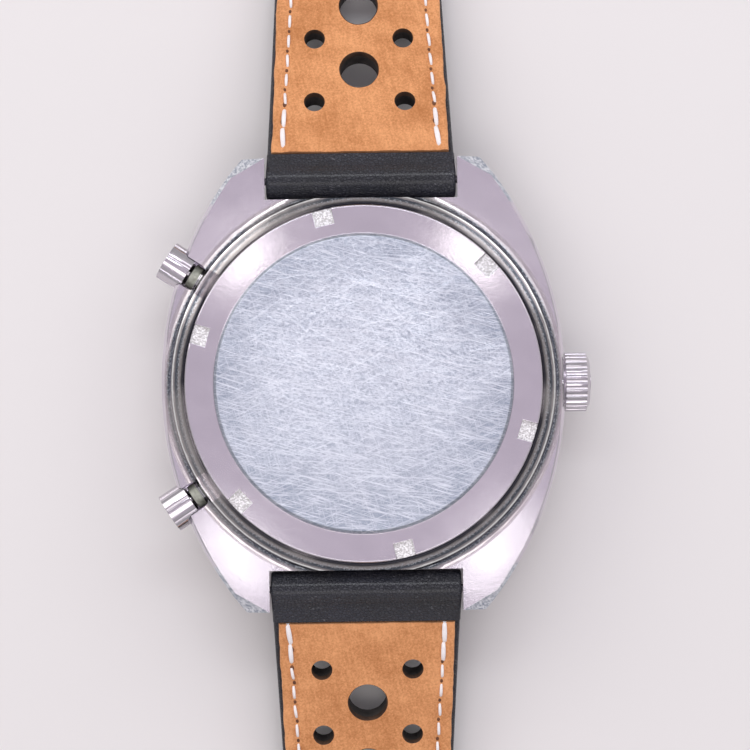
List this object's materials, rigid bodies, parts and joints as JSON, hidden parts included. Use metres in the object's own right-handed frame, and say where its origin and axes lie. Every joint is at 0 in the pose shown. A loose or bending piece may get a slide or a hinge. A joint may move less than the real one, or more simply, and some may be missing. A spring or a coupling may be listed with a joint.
{
  "type": "chronograph wristwatch",
  "caption": "Cushion-cased chronograph wristwatch with screwed back, fluted crown, two pushers and an open perforated leather strap with pin buckle, lying face down.",
  "frame": {"origin": "middle of the crystal's flat outer face, on the dial axis", "axes": "+X towards the crown, +Y towards twelve o'clock and the buckle, +Z out of the case back"},
  "size_m": [0.0452, 0.2398, 0.0139],
  "materials": {
    "case_steel": "satin and polished, fine scratches",
    "back_steel": "polished ring and scratched disc",
    "crown_steel": "polished",
    "bright_steel": "bright",
    "tube_dull": "dull, tarnished",
    "seal_rubber": "soft",
    "seal_white": "moulded",
    "crystal_glass": "clear",
    "flange_black": "satin",
    "insert_black": "anodised",
    "dial_black": "fine grained",
    "hand_white": "lacquered",
    "hand_orange": "lacquered",
    "date_white": "matt",
    "movement_brass": "gilt",
    "plate_gilt": "plated, grained",
    "spring_blue": "heat blued",
    "ruby": "polished",
    "leather_black": "fine grain, semi-gloss",
    "leather_tan": "natural nap"
  },
  "bodies": {
    "case": {"mid_case": "case_steel", "case_back": "back_steel", "case_back_gasket": "seal_rubber", "crystal": "crystal_glass", "crystal_gasket": "seal_white", "inner_flange": "flange_black", "bezel_spring": "bright_steel", "dial": "dial_black", "hour_markers": "bright_steel", "recorder_rings": "bright_steel", "movement_ring": "bright_steel", "main_plate": "plate_gilt", "train_bridge": "plate_gilt", "balance_cock": "plate_gilt", "chrono_bridge": "plate_gilt", "mainspring": "spring_blue", "hairspring": "spring_blue", "jewels": "ruby", "movement_screws": "spring_blue", "crown_tube": "bright_steel", "pusher_tubes": "tube_dull", "pusher_springs": "bright_steel", "spring_bars": "bright_steel"},
    "bezel": {"bezel": "case_steel", "bezel_insert": "insert_black"},
    "minute": {"minute_hand": "hand_white", "cannon_pinion": "bright_steel"},
    "hour": {"hour_hand": "hand_white", "hour_wheel": "movement_brass"},
    "minute_work": {"minute_wheel": "movement_brass"},
    "chronograph": {"chrono_seconds_hand": "hand_orange", "chrono_wheel": "movement_brass"},
    "minute_recorder": {"minute_recorder_hand": "hand_orange"},
    "hour_recorder": {"hour_recorder_hand": "hand_orange"},
    "date": {"date_disc": "date_white"},
    "barrel": {"barrel": "movement_brass"},
    "centre": {"centre_wheel": "movement_brass"},
    "third": {"third_wheel": "movement_brass"},
    "fourth": {"fourth_wheel": "movement_brass"},
    "escape": {"escape_wheel": "bright_steel"},
    "fork": {"pallet_fork": "bright_steel"},
    "balance": {"balance_wheel": "movement_brass"},
    "rotor": {"rotor": "movement_brass"},
    "winding": {"winding_pinion": "bright_steel"},
    "crown": {"crown": "crown_steel", "winding_stem": "bright_steel"},
    "start": {"start_pusher": "crown_steel"},
    "reset": {"reset_pusher": "crown_steel"},
    "buckle_half": {"buckle_strap": "leather_black", "buckle_strap_lining": "leather_tan", "fixed_keeper": "leather_black", "buckle_bar": "bright_steel"},
    "keeper": {"free_keeper": "leather_black"},
    "tail_half": {"tail_strap": "leather_black", "tail_strap_lining": "leather_tan"},
    "buckle": {"buckle_frame": "crown_steel"},
    "tongue": {"buckle_tongue": "crown_steel"}
  },
  "joints": [
    {"name": "bezel_turn", "type": "hinge", "parent": "case", "child": "bezel", "pos_m": [0, 0, 0.002], "axis": [0, 0, 1], "continuous": true},
    {"name": "minute_turn", "type": "hinge", "parent": "case", "child": "minute", "pos_m": [0, 0, 0.0046], "axis": [0, 0, 1], "continuous": true},
    {"name": "hour_turn", "type": "hinge", "parent": "case", "child": "hour", "pos_m": [0, 0, 0.0046], "axis": [0, 0, 1], "continuous": true},
    {"name": "minute_wheel_turn", "type": "hinge", "parent": "case", "child": "minute_work", "pos_m": [0, -0.00288, 0.0056], "axis": [0, 0, 1], "continuous": true},
    {"name": "chrono_turn", "type": "hinge", "parent": "case", "child": "chronograph", "pos_m": [0, 0, 0.007], "axis": [0, 0, 1], "continuous": true},
    {"name": "minute_recorder_turn", "type": "hinge", "parent": "case", "child": "minute_recorder", "pos_m": [-0.0074, 0, 0.005], "axis": [0, 0, 1], "continuous": true},
    {"name": "hour_recorder_turn", "type": "hinge", "parent": "case", "child": "hour_recorder", "pos_m": [0.0074, 0, 0.005], "axis": [0, 0, 1], "continuous": true},
    {"name": "date_turn", "type": "hinge", "parent": "case", "child": "date", "pos_m": [0, 0, 0.0052], "axis": [0, 0, 1], "continuous": true},
    {"name": "fourth_turn", "type": "hinge", "parent": "case", "child": "fourth", "pos_m": [-0.00608, -0.00383, 0.009], "axis": [0, 0, 1], "continuous": true},
    {"name": "third_turn", "type": "hinge", "parent": "case", "child": "third", "pos_m": [-0.00468, 0, 0.009], "axis": [0, 0, 1], "continuous": true},
    {"name": "centre_turn", "type": "hinge", "parent": "case", "child": "centre", "pos_m": [0, 0, 0.009], "axis": [0, 0, 1], "continuous": true},
    {"name": "barrel_turn", "type": "hinge", "parent": "case", "child": "barrel", "pos_m": [0.0036, 0.00624, 0.009], "axis": [0, 0, 1], "continuous": true},
    {"name": "escape_turn", "type": "hinge", "parent": "case", "child": "escape", "pos_m": [-0.00415, -0.00717, 0.009], "axis": [0, 0, 1], "continuous": true},
    {"name": "fork_rock", "type": "hinge", "parent": "case", "child": "fork", "pos_m": [-0.00177, -0.00854, 0.0087], "axis": [0, 0, 1], "range_deg": [-5, 5]},
    {"name": "balance_swing", "type": "hinge", "parent": "case", "child": "balance", "pos_m": [0.00074, -0.00999, 0.0094], "axis": [0, 0, 1], "range_deg": [-140, 140]},
    {"name": "rotor_turn", "type": "hinge", "parent": "case", "child": "rotor", "pos_m": [0.0089, -0.0046, 0.0092], "axis": [0, 0, 1], "continuous": true},
    {"name": "crown_turn", "type": "hinge", "parent": "case", "child": "winding", "pos_m": [0.0114, 0, 0.0074], "axis": [1, 0, 0], "continuous": true},
    {"name": "crown_pull", "type": "slide", "parent": "winding", "child": "crown", "axis": [1, 0, 0], "range_m": [0, 0.0015]},
    {"name": "start_press", "type": "slide", "parent": "case", "child": "start", "axis": [0.8387, -0.5446, 0], "range_m": [0, 0.001], "stiffness_N_per_m": 300},
    {"name": "reset_press", "type": "slide", "parent": "case", "child": "reset", "axis": [0.8387, 0.5446, 0], "range_m": [0, 0.001], "stiffness_N_per_m": 300},
    {"name": "buckle_half_swing", "type": "hinge", "parent": "case", "child": "buckle_half", "pos_m": [0, 0.02125, 0.0096], "axis": [1, 0, 0], "range_deg": [0, 90]},
    {"name": "tail_half_swing", "type": "hinge", "parent": "case", "child": "tail_half", "pos_m": [0, -0.02125, 0.0096], "axis": [-1, 0, 0], "range_deg": [0, 90]},
    {"name": "keeper_slide", "type": "slide", "parent": "buckle_half", "child": "keeper", "axis": [0, 1, 0], "range_m": [-0.014, 0.0055]},
    {"name": "buckle_swing", "type": "hinge", "parent": "buckle_half", "child": "buckle", "pos_m": [0, 0.09619, 0.00235], "axis": [1, 0, 0], "range_deg": [0, 70]},
    {"name": "tongue_swing", "type": "hinge", "parent": "buckle", "child": "tongue", "pos_m": [0, 0.09619, 0.00235], "axis": [1, 0, 0], "range_deg": [0, 60]}
  ],
  "couplings": [
    {"joint": "hour_turn", "follows": "minute_turn", "ratio": 0.083333},
    {"joint": "minute_wheel_turn", "follows": "minute_turn", "ratio": -0.33333},
    {"joint": "third_turn", "follows": "fourth_turn", "ratio": -0.13333},
    {"joint": "centre_turn", "follows": "fourth_turn", "ratio": 0.016667},
    {"joint": "barrel_turn", "follows": "fourth_turn", "ratio": -0.0020833},
    {"joint": "escape_turn", "follows": "fourth_turn", "ratio": -10}
  ]
}
